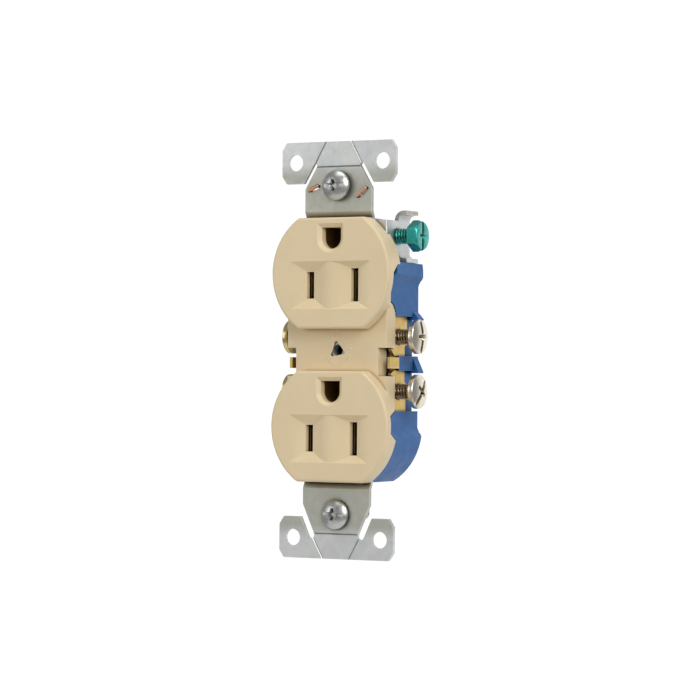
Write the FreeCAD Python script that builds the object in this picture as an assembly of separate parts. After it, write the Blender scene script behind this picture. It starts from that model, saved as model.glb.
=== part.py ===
import FreeCAD, Part
import math
import os
from FreeCAD import Vector

# Frame: X right, Y back into the wall box, Z up, millimetres.
# The origin lies on the strap's front plane, midway between the two box screws.

SIDES = {"neutral": 1, "hot": -1}
LEVELS = {"upper": 1, "lower": -1}

# General
FAR = 60.0
GAP = 0.1
FLAT = 1e-4

# Plug faces and cover
BOSS_Z = 19.4
BOSS_R = 16.85
BOSS_FLAT = 14.05
FACE_Y = -4.3
FACE_ROUND = 0.7
PARTING_Y = 0.85
SKIRT_Y = 2.2
SKIRT_WALL = 1.3
SKIRT_FROM_Z = 21.6
SADDLE_Y = -0.15
SADDLE_X = 14.25
SADDLE_Z = 11.0
SADDLE_WALL = 1.6
SADDLE_BACK_Y = 4.5
WALL_OUTLINE = [(SADDLE_Y, -16.0), (PARTING_Y, -17.4), (SADDLE_BACK_Y, -15.4),
                (SADDLE_BACK_Y, 9.6), (3.2, 11.4), (PARTING_Y, 12.6), (SADDLE_Y, 12.6)]
WALL_ROOM = [(0, -17.6), (PARTING_Y, -17.6), (4.6, -15.5), (4.6, 9.7), (3.3, 11.55),
             (PARTING_Y, 12.8), (0, 12.8)]
NOTCH_X = 11.8
NOTCH_Z = (-6.6, 0.6)
NOTCH_LINING_X = 10.5
NOTCH_LINING_Z = (-8.1, 2.1)
GAP_UPPER = [(PARTING_Y, 10.8), (-1.6, 12.2), (-1.6, 19.5), (PARTING_Y, 21.6)]
GAP_LOWER = [(PARTING_Y, -14.6), (-2.4, -16.2), (-2.4, -21.0), (PARTING_Y, -22.8)]
GAP_X = 14.8

# Plug openings, heights measured from each plug face's centre
SLOT_X = 6.35
SLOT_DROP = 3.0
SLOT_WIDTH = 2.1
HOT_SLOT = 6.8
NEUTRAL_SLOT = 8.4
SLOT_LONG = {"neutral": NEUTRAL_SLOT, "hot": HOT_SLOT}
SLOT_POCKET_X = (4.6, 8.1)
SLOT_POCKET_HALF = 4.6
SLOT_POCKET_Y = -1.2
SOCKET_RISE = 8.8
SOCKET_R = 2.7
SOCKET_TOP = 2.75
SOCKET_BEVEL = 1.0
SOCKET_BEVEL_DEEP = 0.9
SOCKET_POCKET_Y = -1.5
SOCKET_POCKET = 0.95
RECESS_X = 11.4
RECESS_UP = 6.0
RECESS_DOWN = 6.15
RECESS_DEEP = 1.6
RECESS_LIP = 0.15
HUMP = [(0.0, 0.1), (1.2, 0.2), (2.9, 0.75), (5.2, RECESS_DEEP), (7.5, RECESS_DEEP)]
CENTRE_REACH = 2.7
CENTRE_BLUNT = 2.25
CENTRE_CORNERS = (100, 220, 340)
CENTRE_SINK = 2.7
CENTRE_SINK_FLOOR = 1.8
CENTRE_SINK_DEEP = 0.2

# Pegs that locate the cover on the body
PEG_PLACES = [(10.4, 9.3), (10.4, -29.0)]
PEG_R = 1.0
PEG_FRONT = -1.6

# Strap
STRAP_T = 1.1
STRAP_HALF = 53.0
EAR_X = 16.4
EAR_Z = 42.4
EAR_CHAMFER = (1.3, 2.0)
EAR_HOLE = (12.5, 47.8, 2.1)
EAR_SLIT = {"upper": (1.1, 41.0), "lower": (1.9, 39.2)}
SLIT_RUN = 12.0
SLIT_DEEP = 8.0
SCORE_LINE = ((6.8, 47.3), (3.5, 53.3))
NECK_X = 9.6
NECK_TIP = (6.3, 46.6)
NECK_END = 33.6
JOGGLE = 1.5
STRIP_X = 3.6
RING_X = 5.2
RING_HALF = 4.7
NECK_PLATE_Z = (23.3, -29.6)
STRAP_SOCKET = 0.75
CENTRE_HOLE_R = 1.45
CENTRE_COLLAR_R = 2.4
CENTRE_COLLAR = 1.2
CENTRE_LIP = 0.35
CENTRE_ROOM = 0.2
BOX_SCREW_Z = 41.67
BOX_SLOT_HALF = 1.4
GROOVE = 0.22

# Ground arm of the strap and its screw
GROUND_Y = 6.6
GROUND_Z = 28.9
GROUND_SEAT = 18.0
GROUND_FLATS = 6.95
GROUND_HEAD = 2.8
GROUND_CROWN = 1.4
GROUND_PLATE_X = 13.6
GROUND_PLATE_HALF = 4.0
GROUND_PLATE_BACK = 13.4
GROUND_BEND_R = 0.6
WING_Y = 7.0
WING_CURL = 1.5
WING_LIP = 0.9

# Body
BODY_R_FRONT = 16.65
BODY_R_BACK = 16.15
BODY_BACK = 16.75
BACK_CHAMFER = 0.6
BACK_WALL = 1.4
CORE_X = 12.8
FLANK_X = 14.5
FLANK_OUTLINE = [(FLANK_X, 16.5), (15.0, 17.6), (16.9, 19.6), (FAR, 19.6),
                 (FAR, -22.8), (16.9, -22.8), (15.0, -20.8), (FLANK_X, -19.6)]
TERMINAL_Z = (-15.4, 8.7)
DIVIDER_Z = (-5.1, -1.4)
BARB_X = 16.1
BARB_Y = 14.0
BARB_EDGE = 0.4
BARBS = [(9.9, 7.8), (-1.9, -5.7)]
GROUND_RECESS = (11.0, 22.2)

# Brass
PLATE_X = 13.7
BRASS_T = 0.8
PLATE_Y = (4.6, 12.0)
PLATE_Z = (-18.4, 12.9)
PLATE_NOSE_Y = 3.4
PLATE_WAIST_Y = 10.8
PLATE_FOOT_Y = 11.4
TAB_Y = 5.4
TAB_X = 14.55
TAB_FRONT = 1.4
TAB_Z = (-4.6, -1.8)
LINK_Z = {"upper": (12.1, 12.9), "lower": (-18.4, -17.6)}
LINK_Y = 6.0
LEAF_T = 0.5
LEAF_LONG = 7.6
LEAF_X = (5.1, 7.1)
LEAF_FRONT = -0.6
CONTACT_BACK = 14.2

# Ground contacts and their rivets
SLEEVE_FRONT = -1.3
SLEEVE_BACK = 13.6
SLEEVE_FIT = 0.05
SLEEVE_SPLIT = 0.8
FLANGE_X = 3.55
FLANGE_Z = (-3.3, 3.9)
TONGUE_X = 3.1
RIVET_R = 1.2
RIVET_HEAD_R = 2.0
RIVET_HEAD = 0.6
RIVET_DROP = 6.2

# Push-in wire holes and their spring leaves
CLIP_POCKET_Z = (7.1, 9.9)
CLIP_POCKET_Y = 6.0
CLIP_OUTLINE = [(9.0, 7.0), (9.3, 7.0), (9.3, 14.2), (9.7, 14.5), (12.1, 9.6), (12.4, 9.75),
                (9.9, 14.9), (9.3, 14.9), (9.0, 14.5)]
WIRE_X = 11.0
WIRE_HOLE_R = 1.15

# Screws
TERMINAL_Y = 7.5
TERMINAL_SCREW_Z = {"upper": 3.45, "lower": -10.4}
TERMINAL_HEAD = (4.35, 1.4, 0.8)
TERMINAL_SEAT = {"neutral": 18.4, "hot": 16.5}
TERMINAL_DRIVE = {"upper": 90, "lower": 125}
SHANK_R = 2.0
SHANK_LONG = 7.2
SHANK_TIP = 0.5
THREAD_GAP = 0.05
DRIVE_WIDE = 1.1
DRIVE_SLOT = 0.9
DRIVE_CROSS = 1.5
DRIVE_HALF = 0.6
BOX_HEAD = (3.8, 0.8, 1.5)
BOX_SHANK_R = 1.75
BOX_NECK_R = 1.55
BOX_NECK_END = 3.45
BOX_SHANK_LONG = 16.0
BOX_SEAT = {"upper": -1.0, "lower": -0.15}

# Small parts behind the strap
RETAINER_T = 0.8
RETAINER_HALF = (4.2, 3.4)
WIRE_R = 0.42
WIRE_FRONT = [((-8.3, 40.6), (-5.9, 41.7)), ((5.7, 39.0), (8.0, 40.9))]


# ---------------------------------------------------------------- shape helpers

def box(x, y, z):
    """A box between two values along each axis."""
    low = Vector(min(x), min(y), min(z))
    return Part.makeBox(max(x) - min(x), max(y) - min(y), max(z) - min(z), low)


def both_sides(shape):
    """The shape and its mirror image across the middle plane."""
    return shape.fuse(shape.mirror(Vector(0, 0, 0), Vector(1, 0, 0)))


def to_side(shape, sign):
    """The shape as it is, or its mirror image for the left side."""
    return shape if sign > 0 else shape.mirror(Vector(0, 0, 0), Vector(1, 0, 0))


def prism(points, normal, start, end):
    """A polygon extruded along X, Y or Z; its points give the other two axes in order."""
    place = {
        "x": lambda a, b: Vector(start, a, b),
        "y": lambda a, b: Vector(a, start, b),
        "z": lambda a, b: Vector(a, b, start),
    }[normal]
    along = {"x": Vector(1, 0, 0), "y": Vector(0, 1, 0), "z": Vector(0, 0, 1)}[normal]
    wire = Part.makePolygon([place(a, b) for a, b in list(points) + [points[0]]])
    return Part.Face(wire).extrude(along * (end - start))


def rod_x(radius, x, y, z):
    """A cylinder along X between two X values."""
    return Part.makeCylinder(radius, max(x) - min(x), Vector(min(x), y, z), Vector(1, 0, 0))


def rod_y(radius, y, x, z):
    """A cylinder along Y between two Y values."""
    return Part.makeCylinder(radius, max(y) - min(y), Vector(x, min(y), z), Vector(0, 1, 0))


def slot_y(radius, half, y, x, z, angle=0):
    """A round-ended slot cut along Y; half is its straight half length, angle its tilt from X."""
    ends = [rod_y(radius, y, side * half, 0) for side in (-1, 1)]
    shape = box((-half, half), y, (-radius, radius)).fuse(ends).removeSplitter()
    shape.rotate(Vector(0, 0, 0), Vector(0, -1, 0), angle)
    shape.translate(Vector(x, 0, z))
    return shape


def lobe(radius, y, z):
    """A disc with a flat at its top and bottom, as each plug face has."""
    tall = (z - BOSS_FLAT, z + BOSS_FLAT)
    return rod_y(radius, y, 0, z).common(box((-FAR, FAR), y, tall)).Solids[0]


def edges_at(shape, y):
    """The edges that lie wholly in the plane of one Y value."""
    near = lambda e: abs(e.BoundBox.YMin - y) < FLAT and abs(e.BoundBox.YMax - y) < FLAT
    return [e for e in shape.Edges if near(e)]


def contact_z(level):
    """The height of one pair of blade slots."""
    return LEVELS[level] * BOSS_Z - SLOT_DROP


def socket_z(level):
    """The height of one ground socket's round centre."""
    return LEVELS[level] * BOSS_Z + SOCKET_RISE


def rivet_z(level):
    """Each ground contact is riveted to the strap just below its socket."""
    return socket_z(level) - RIVET_DROP


# ---------------------------------------------------------------- front cover

def socket_prism(grow, y, z):
    """The ground socket's outline, flat at the top and round below, extruded along Y."""
    radius = SOCKET_R + grow
    upper = box((-radius, radius), y, (z, z + SOCKET_TOP + grow))
    return rod_y(radius, y, 0, z).fuse(upper).removeSplitter()


def socket_wire(grow, y, z):
    """The same outline as a closed wire at one depth."""
    radius = SOCKET_R + grow
    top = z + SOCKET_TOP + grow
    left, right = Vector(-radius, y, z), Vector(radius, y, z)
    corner_l, corner_r = Vector(-radius, y, top), Vector(radius, y, top)
    return Part.Wire([
        Part.Arc(left, Vector(0, y, z - radius), right).toShape(),
        Part.makeLine(right, corner_r),
        Part.makeLine(corner_r, corner_l),
        Part.makeLine(corner_l, left),
    ])


def funnel(side, level):
    """The trough that leads one blade into its slot and slopes in from all four sides."""
    z = contact_z(level)
    proud = FACE_Y - 1
    floor = FACE_Y + RECESS_DEEP
    half = SLOT_LONG[side] / 2 + RECESS_LIP
    across = [(0, proud)] + [(x, FACE_Y + deep) for x, deep in HUMP]
    across += [(RECESS_X, FACE_Y), (RECESS_X, proud)]
    along = [
        (proud, z - RECESS_DOWN), (FACE_Y, z - RECESS_DOWN), (floor, z - half),
        (floor, z + half), (FACE_Y, z + RECESS_UP), (proud, z + RECESS_UP),
    ]
    shape = prism(across, "z", z - RECESS_DOWN - 1, z + RECESS_UP + 1)
    return to_side(shape.common(prism(along, "x", 0, RECESS_X)), SIDES[side])


def blade_slot(side, level):
    """One blade's slot through the face, and the room for its contact behind the face."""
    z = contact_z(level)
    half = SLOT_LONG[side] / 2
    wide = (SLOT_X - SLOT_WIDTH / 2, SLOT_X + SLOT_WIDTH / 2)
    slot = box(wide, (FACE_Y - 1, SADDLE_BACK_Y), (z - half, z + half))
    room = box(SLOT_POCKET_X, (SLOT_POCKET_Y, SADDLE_BACK_Y), (z - SLOT_POCKET_HALF, z + SLOT_POCKET_HALF))
    return [to_side(part, SIDES[side]) for part in (slot, room)]


def ground_socket(level):
    """One ground socket: its bevel, its opening, and the room for its contact and rivet."""
    z = socket_z(level)
    bevel = [socket_wire(SOCKET_BEVEL, FACE_Y, z), socket_wire(0, FACE_Y + SOCKET_BEVEL_DEEP, z)]
    rivet = (PARTING_Y - RIVET_HEAD - GAP, PARTING_Y + 1)
    return [
        Part.makeLoft(bevel, True, True),
        socket_prism(0, (FACE_Y - 1, SADDLE_BACK_Y), z),
        socket_prism(SOCKET_POCKET, (SOCKET_POCKET_Y, SADDLE_BACK_Y), z),
        rod_y(RIVET_HEAD_R + 0.3, rivet, 0, rivet_z(level)),
    ]


def centre_opening(y):
    """The three-cornered screw opening in the middle of the saddle."""
    corners = [(CENTRE_REACH * math.cos(math.radians(a)), CENTRE_REACH * math.sin(math.radians(a)))
               for a in CENTRE_CORNERS]
    return prism(corners, "y", min(y), max(y)).common(rod_y(CENTRE_BLUNT, y, 0, 0))


def pegs(radius, front):
    """Four pegs on the body that locate and hold the cover."""
    return [rod_y(radius, (front, PARTING_Y), sign * x, z)
            for sign in SIDES.values() for x, z in PEG_PLACES]


def upper_skirt():
    """The rim that the upper plug face carries back round the body's top."""
    ring = rod_y(BOSS_R, (PARTING_Y, SKIRT_Y), 0, BOSS_Z)
    ring = ring.cut(rod_y(BOSS_R - SKIRT_WALL, (0, SKIRT_Y + 1), 0, BOSS_Z))
    reach = box((NECK_X + GAP, FAR), (0, SKIRT_Y), (SKIRT_FROM_Z, BOSS_Z + BOSS_FLAT))
    arm_z = (GROUND_Z - GROUND_PLATE_HALF - GAP, GROUND_Z + GROUND_PLATE_HALF + GAP)
    arm = box((NECK_X - 1, GROUND_PLATE_X + GAP), (PARTING_Y, SKIRT_Y + 1), arm_z)
    return ring.common(both_sides(reach)).cut(arm)


def front_cover():
    bosses = [lobe(BOSS_R, (FACE_Y, PARTING_Y), sign * BOSS_Z) for sign in LEVELS.values()]
    saddle = box((-SADDLE_X, SADDLE_X), (SADDLE_Y, PARTING_Y), (-SADDLE_Z, SADDLE_Z))
    wall = prism(WALL_OUTLINE, "x", SADDLE_X - SADDLE_WALL, SADDLE_X)
    shape = saddle.fuse(bosses + [both_sides(wall)]).removeSplitter()
    shape = shape.makeFillet(FACE_ROUND, edges_at(shape, FACE_Y))
    shape = shape.fuse(upper_skirt())
    cuts = [both_sides(box((NOTCH_X, FAR), (-1, SADDLE_BACK_Y + 1), NOTCH_Z))]
    cuts += [both_sides(prism(outline, "x", GAP_X, FAR)) for outline in (GAP_UPPER, GAP_LOWER)]
    cuts.append(centre_opening((SADDLE_Y - 1, SADDLE_BACK_Y)))
    cuts.append(Part.makeCone(CENTRE_SINK, CENTRE_SINK_FLOOR, CENTRE_SINK_DEEP,
                              Vector(0, SADDLE_Y, 0), Vector(0, 1, 0)))
    collar_room = (PARTING_Y - CENTRE_LIP - 0.1, SADDLE_BACK_Y)
    cuts.append(rod_y(CENTRE_COLLAR_R + CENTRE_ROOM, collar_room, 0, 0))
    for level in LEVELS:
        cuts += ground_socket(level)
        for side in SIDES:
            cuts.append(funnel(side, level))
            cuts += blade_slot(side, level)
    cuts += pegs(PEG_R + THREAD_GAP, PEG_FRONT - 0.2)
    lining = box((NOTCH_LINING_X, NOTCH_X), (SADDLE_Y, SADDLE_BACK_Y), NOTCH_LINING_Z)
    return shape.cut(cuts).fuse(both_sides(lining)).removeSplitter()


# ---------------------------------------------------------------- strap

def strap_outline(y, grow=0.0):
    """The strap's inner stretch, from neck to neck, seen from the front."""
    neck, strip, ring = NECK_X + grow, STRIP_X + grow, RING_X + grow
    top, bottom = NECK_PLATE_Z
    ring_z = socket_z("lower")
    arm_half = GROUND_PLATE_HALF + grow
    neck_plate = box((-neck, neck), y, (top - grow, NECK_END + JOGGLE))
    return neck_plate.fuse([
        box((-strip, strip), y, (-NECK_END, top)),
        box((-ring, ring), y, (ring_z - RING_HALF - grow, ring_z + RING_HALF + grow)),
        box((-neck, neck), y, (-NECK_END - JOGGLE, bottom + grow)),
        box((0, GROUND_PLATE_X - STRAP_T), y, (GROUND_Z - arm_half, GROUND_Z + arm_half)),
    ]).removeSplitter()


def strap_profile():
    """The strap's side view: flush at the ends, stepped back behind the cover."""
    front = [(0, STRAP_HALF), (0, NECK_END + JOGGLE), (PARTING_Y, NECK_END)]
    front += [(y, -z) for y, z in reversed(front)]
    back = [(y + STRAP_T, z) for y, z in reversed(front)]
    return prism(front + back, "x", -FAR, FAR)


def score(start, end):
    """A V-shaped cutter for a score line across the strap's front face."""
    a, b = Vector(start[0], 0, start[1]), Vector(end[0], 0, end[1])
    along = b - a
    across = Vector(along.z, 0, -along.x)
    across.normalize()
    wide, deep = across * GROOVE, Vector(0, GROOVE, 0)
    points = [a - wide, a + deep, a + wide, a - deep, a - wide]
    return Part.Face(Part.makePolygon(points)).extrude(along)


def ear_slit(level, y):
    """The slanted slot that leaves an ear hanging by a scored bridge."""
    gap, foot_z = EAR_SLIT[level]
    run = Vector(NECK_TIP[0] - NECK_X, 0, NECK_TIP[1] - foot_z)
    run.normalize()
    out = Vector(run.z, 0, -run.x)
    tip = Vector(NECK_TIP[0], 0, NECK_TIP[1])
    foot = tip - run * SLIT_RUN
    corner = lambda wide: [(c.x, c.z) for c in (tip, tip + out * gap, foot + out * wide, foot)]
    open_side = prism(corner(SLIT_DEEP), "y", *y)
    keep = box((0, FAR), y, (0, EAR_Z)).fuse(prism(corner(gap), "y", *y))
    end = tip + out * (gap / 2)
    return open_side.common(keep).fuse(rod_y(gap / 2, y, end.x, end.z))


def ear_end(level):
    """One end of the strap: a neck, two ears and the slots between them."""
    through = (-1, STRAP_T + 3)
    chamfer_x, chamfer_z = EAR_CHAMFER
    half = [
        (0, EAR_Z), (EAR_X - chamfer_x, EAR_Z), (EAR_X, EAR_Z + chamfer_z),
        (EAR_X, STRAP_HALF - chamfer_z), (EAR_X - chamfer_x, STRAP_HALF), (0, STRAP_HALF),
    ]
    shape = prism(half + [(-x, z) for x, z in reversed(half[1:-1])], "y", *through)
    shape = shape.fuse(box((-NECK_X, NECK_X), through, (NECK_END, NECK_TIP[1])))
    hole_x, hole_z, hole_r = EAR_HOLE
    holes = rod_y(hole_r, through, hole_x, hole_z)
    shape = shape.cut([both_sides(ear_slit(level, through)), both_sides(holes)])
    shape = shape.common(strap_profile())
    crease = score((-NECK_TIP[0], NECK_TIP[1]), NECK_TIP)
    shape = shape.cut([crease, both_sides(score(*SCORE_LINE))])
    if level == "upper":
        return shape
    return shape.mirror(Vector(0, 0, 0), Vector(0, 0, 1))


def wing(sign):
    """One edge of the ground plate, rolled outward to hold a wire under the screw."""
    inner = GROUND_PLATE_X - STRAP_T
    z0 = GROUND_Z + sign * GROUND_PLATE_HALF
    turn = math.pi / 4
    place = lambda x, z: Vector(x, WING_Y, z0 + sign * z)
    arc = lambda x, r: (place(x + r * (1 - math.cos(turn)), r * math.sin(turn)), place(x + r, r))
    near_mid, near_end = arc(GROUND_PLATE_X, WING_CURL)
    far_mid, far_end = arc(inner, WING_CURL + STRAP_T)
    lip = Vector(WING_LIP, 0, 0)
    wire = Part.Wire([
        Part.Arc(place(GROUND_PLATE_X, 0), near_mid, near_end).toShape(),
        Part.makeLine(near_end, near_end + lip),
        Part.makeLine(near_end + lip, far_end + lip),
        Part.makeLine(far_end + lip, far_end),
        Part.Arc(far_end, far_mid, place(inner, 0)).toShape(),
        Part.makeLine(place(inner, 0), place(GROUND_PLATE_X, 0)),
    ])
    return Part.Face(wire).extrude(Vector(0, GROUND_PLATE_BACK - WING_Y, 0))


def ground_plate():
    """The arm's bent-back plate with the thread for the green screw and two curled wings."""
    inner = GROUND_PLATE_X - STRAP_T
    tall = (GROUND_Z - GROUND_PLATE_HALF, GROUND_Z + GROUND_PLATE_HALF)
    plate = box((inner, GROUND_PLATE_X), (PARTING_Y, GROUND_PLATE_BACK), tall)
    corner = [e for e in edges_at(plate, PARTING_Y) if abs(e.BoundBox.XMin - GROUND_PLATE_X) < FLAT]
    plate = plate.makeFillet(GROUND_BEND_R, corner)
    plate = plate.fuse([wing(1), wing(-1)]).removeSplitter()
    return plate.cut(rod_x(SHANK_R + THREAD_GAP, (inner - 1, GROUND_PLATE_X + 1), GROUND_Y, GROUND_Z))


def mounting_strap():
    through = (-2, PARTING_Y + 4)
    shape = strap_outline(through).common(strap_profile())
    arm = box((0, GROUND_PLATE_X - STRAP_T), (PARTING_Y, PARTING_Y + STRAP_T),
              (GROUND_Z - GROUND_PLATE_HALF, GROUND_Z + GROUND_PLATE_HALF))
    collar_y = (PARTING_Y - CENTRE_LIP, PARTING_Y + STRAP_T + CENTRE_COLLAR)
    collar = rod_y(CENTRE_COLLAR_R, collar_y, 0, 0)
    ends = [ear_end(level) for level in LEVELS]
    shape = shape.fuse(ends + [arm, ground_plate(), collar]).removeSplitter()
    cuts = [rod_y(CENTRE_HOLE_R, through, 0, 0)]
    for level, sign in LEVELS.items():
        cuts.append(slot_y(BOX_SHANK_R + 0.2, BOX_SLOT_HALF, through, 0, sign * BOX_SCREW_Z))
        cuts.append(socket_prism(STRAP_SOCKET, through, socket_z(level)))
        cuts.append(rod_y(RIVET_R, through, 0, rivet_z(level)))
    for (x0, z0), (x1, z1) in WIRE_FRONT:
        half = math.hypot(x1 - x0, z1 - z0) / 2
        angle = math.degrees(math.atan2(z1 - z0, x1 - x0))
        cuts.append(slot_y(WIRE_R + 0.2, half, through, (x0 + x1) / 2, (z0 + z1) / 2, angle))
    return shape.cut(cuts).removeSplitter()


# ---------------------------------------------------------------- body

def mirror_level(level, z):
    """Heights on the upper half, carried to the lower half about the terminals' middle."""
    middle = sum(TERMINAL_SCREW_Z.values()) / 2
    return z if level == "upper" else 2 * middle - z


def contact_rooms(level):
    """The hollows for one level's blade contacts and ground contact."""
    floor = BODY_BACK - BACK_WALL
    z = contact_z(level)
    low, high = LINK_Z[level]
    leaf_room = (LEAF_X[0] - 0.4, LEAF_X[1] + 1.0)
    socket = socket_z(level)
    return [
        both_sides(box(leaf_room, (0, floor), (z - SLOT_POCKET_HALF, z + SLOT_POCKET_HALF))),
        both_sides(box((LEAF_X[1] - GAP, CORE_X + 0.2), (LINK_Y - 0.2, PLATE_Y[1] + GAP),
                       (low - GAP, high + GAP))),
        box((-FLANGE_X - 0.15, FLANGE_X + 0.15), (0, floor),
            (socket + FLANGE_Z[0] - GAP, socket + FLANGE_Z[1] + 0.2)),
        box((-TONGUE_X - GAP, TONGUE_X + GAP), (0, PARTING_Y + STRAP_T + LEAF_T + RIVET_HEAD + GAP),
            (rivet_z(level) - RIVET_HEAD_R - 0.6, socket)),
    ]


def wire_rooms(level):
    """The push-in wire holes of one level, with the hollows for their spring leaves."""
    floor = BODY_BACK - BACK_WALL
    span = [mirror_level(level, z) for z in CLIP_POCKET_Z]
    return [
        both_sides(box((8.9, CORE_X - 0.6), (CLIP_POCKET_Y, floor - 0.3), span)),
        both_sides(box((CORE_X - 0.9, CORE_X + 0.2), (CLIP_POCKET_Y, PLATE_Y[1] - GAP), span)),
        both_sides(rod_y(WIRE_HOLE_R, (floor - 1, BODY_BACK + 1), WIRE_X, sum(span) / 2)),
    ]


def barb(z_top, z_low):
    """A small hook that stops a wire from sliding off behind its screw."""
    root = CORE_X - 0.5
    outline = [(root, z_top), (FLANK_X, z_top), (BARB_X, z_low + BARB_EDGE), (BARB_X, z_low), (root, z_low)]
    return prism(outline, "y", BARB_Y, BODY_BACK)


def body_blank():
    """Two round lobes joined by a narrow core, with square shoulders beside the terminals."""
    lobes = []
    for sign in LEVELS.values():
        z = sign * BOSS_Z
        cone = Part.makeCone(BODY_R_FRONT, BODY_R_BACK, BODY_BACK - PARTING_Y,
                             Vector(0, PARTING_Y, z), Vector(0, 1, 0))
        part = cone.common(box((-FAR, FAR), (0, FAR), (z - BOSS_FLAT, z + BOSS_FLAT))).Solids[0]
        lobes.append(part.makeChamfer(BACK_CHAMFER, edges_at(part, BODY_BACK)))
    deep = (PARTING_Y, BODY_BACK)
    core = box((-CORE_X, CORE_X), deep, (-SADDLE_Z, SADDLE_Z))
    upper = box((-FLANK_X, FLANK_X), deep, (TERMINAL_Z[1], BOSS_Z))
    lower = box((-FLANK_X, FLANK_X), deep, (-BOSS_Z, TERMINAL_Z[0]))
    return lobes[0].fuse([lobes[1], core, upper, lower]).removeSplitter()


def back_body():
    recess = both_sides(box((CORE_X, FAR), (0, FAR), TERMINAL_Z))
    flank = both_sides(prism(FLANK_OUTLINE, "y", 0, FAR))
    wall_room = both_sides(prism(WALL_ROOM, "x", SADDLE_X - SADDLE_WALL - GAP, FAR))
    ground = box((GROUND_RECESS[0], FAR), (0, FAR), (GROUND_RECESS[1], FAR))
    shape = body_blank().cut([recess, flank, wall_room, ground])
    divider = box((PLATE_X + GAP, FLANK_X), (TAB_Y + BRASS_T + GAP, BODY_BACK), DIVIDER_Z)
    bridge = box((CORE_X - 0.5, FLANK_X), (PLATE_Y[1] + GAP, BODY_BACK), DIVIDER_Z)
    barbs = [barb(*span) for span in BARBS]
    shape = shape.fuse([both_sides(part) for part in [divider, bridge] + barbs])
    rim = rod_y(FAR, (0, SKIRT_Y), 0, BOSS_Z)
    rim = rim.cut(rod_y(BOSS_R - SKIRT_WALL - GAP / 2, (0, SKIRT_Y), 0, BOSS_Z))
    rim = rim.common(both_sides(box((NECK_X, FAR), (0, SKIRT_Y), (SKIRT_FROM_Z, FAR))))
    lining_z = (NOTCH_LINING_Z[0] - GAP, NOTCH_LINING_Z[1] + GAP)
    lining = both_sides(box((NOTCH_LINING_X - GAP, FAR), (0, SADDLE_BACK_Y + GAP), lining_z))
    tab_room = both_sides(box((NOTCH_X, PLATE_X), (0, TAB_Y + BRASS_T + GAP), NOTCH_Z))
    plate_z = (PLATE_Z[0] - GAP, PLATE_Z[1] + GAP)
    plate = both_sides(box((CORE_X, PLATE_X + GAP), (PLATE_NOSE_Y - 0.4, PLATE_Y[1] + GAP), plate_z))
    cuts = [rim, strap_outline((0, PARTING_Y + STRAP_T), GAP), lining, tab_room, plate]
    for level in LEVELS:
        cuts += contact_rooms(level) + wire_rooms(level)
    for z in TERMINAL_SCREW_Z.values():
        cuts.append(both_sides(rod_x(SHANK_R + 0.4, (6.9, CORE_X + 1), TERMINAL_Y, z)))
    cuts.append(rod_x(SHANK_R + 0.4, (6.2, BOSS_R), GROUND_Y, GROUND_Z))
    cuts.append(rod_y(CENTRE_COLLAR_R + CENTRE_ROOM, (0, 12.0), 0, 0))
    return shape.cut(cuts).fuse(pegs(PEG_R, PEG_FRONT)).removeSplitter()


# ---------------------------------------------------------------- brass and contacts

def terminal_plate():
    """The flat brass plate behind two screws, notched where its bent break-off tab stands."""
    inner = PLATE_X - BRASS_T
    (front, back), (low, high) = PLATE_Y, PLATE_Z
    notch_low, notch_high = NOTCH_Z
    outline = [
        (front, low), (front, notch_low + 0.1), (PLATE_NOSE_Y, notch_low + 0.2),
        (PLATE_NOSE_Y, notch_low + 0.7), (TAB_Y, -4.9), (TAB_Y, -1.5),
        (PLATE_NOSE_Y, notch_high - 0.4), (PLATE_NOSE_Y, notch_high - 0.2),
        (front, notch_high - 0.1), (front, high), (back, high), (back, 1.5),
        (PLATE_WAIST_Y, 1.2), (PLATE_WAIST_Y, -8.0), (PLATE_FOOT_Y, -8.3), (PLATE_FOOT_Y, low),
    ]
    tab_y = (TAB_Y, TAB_Y + BRASS_T)
    web = box((NOTCH_X + GAP, PLATE_X), tab_y, (notch_low + 0.2, notch_high - 0.2))
    tab = box((inner, TAB_X), tab_y, TAB_Z)
    ear = box((TAB_X - BRASS_T, TAB_X), (TAB_FRONT, TAB_Y + BRASS_T), TAB_Z)
    return prism(outline, "x", inner, PLATE_X).fuse([web, tab, ear])


def blade_contact(level):
    """Two leaves that grip one blade, with a yoke behind and a link to the plate."""
    z = contact_z(level)
    span = (z - LEAF_LONG / 2, z + LEAF_LONG / 2)
    near, far = LEAF_X
    leaves = [box((x, x + LEAF_T), (LEAF_FRONT, CONTACT_BACK), span) for x in LEAF_X]
    yoke = box((near, far + LEAF_T), (CONTACT_BACK - LEAF_T, CONTACT_BACK), span)
    link_y = (LINK_Y, PLATE_FOOT_Y)
    link = box((far, PLATE_X), link_y, LINK_Z[level])
    riser = box((far, far + LEAF_T), link_y, span + LINK_Z[level])
    return leaves + [yoke, link, riser]


def bus(side):
    """One side's stamped brass: terminal plate, break-off tab and two blade contacts."""
    shape = terminal_plate()
    for level in LEVELS:
        shape = shape.fuse(blade_contact(level))
    across = (PLATE_X - BRASS_T - 1, PLATE_X + 1)
    holes = [rod_x(SHANK_R + THREAD_GAP, across, TERMINAL_Y, z) for z in TERMINAL_SCREW_Z.values()]
    return to_side(shape.cut(holes).removeSplitter(), SIDES[side])


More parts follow.
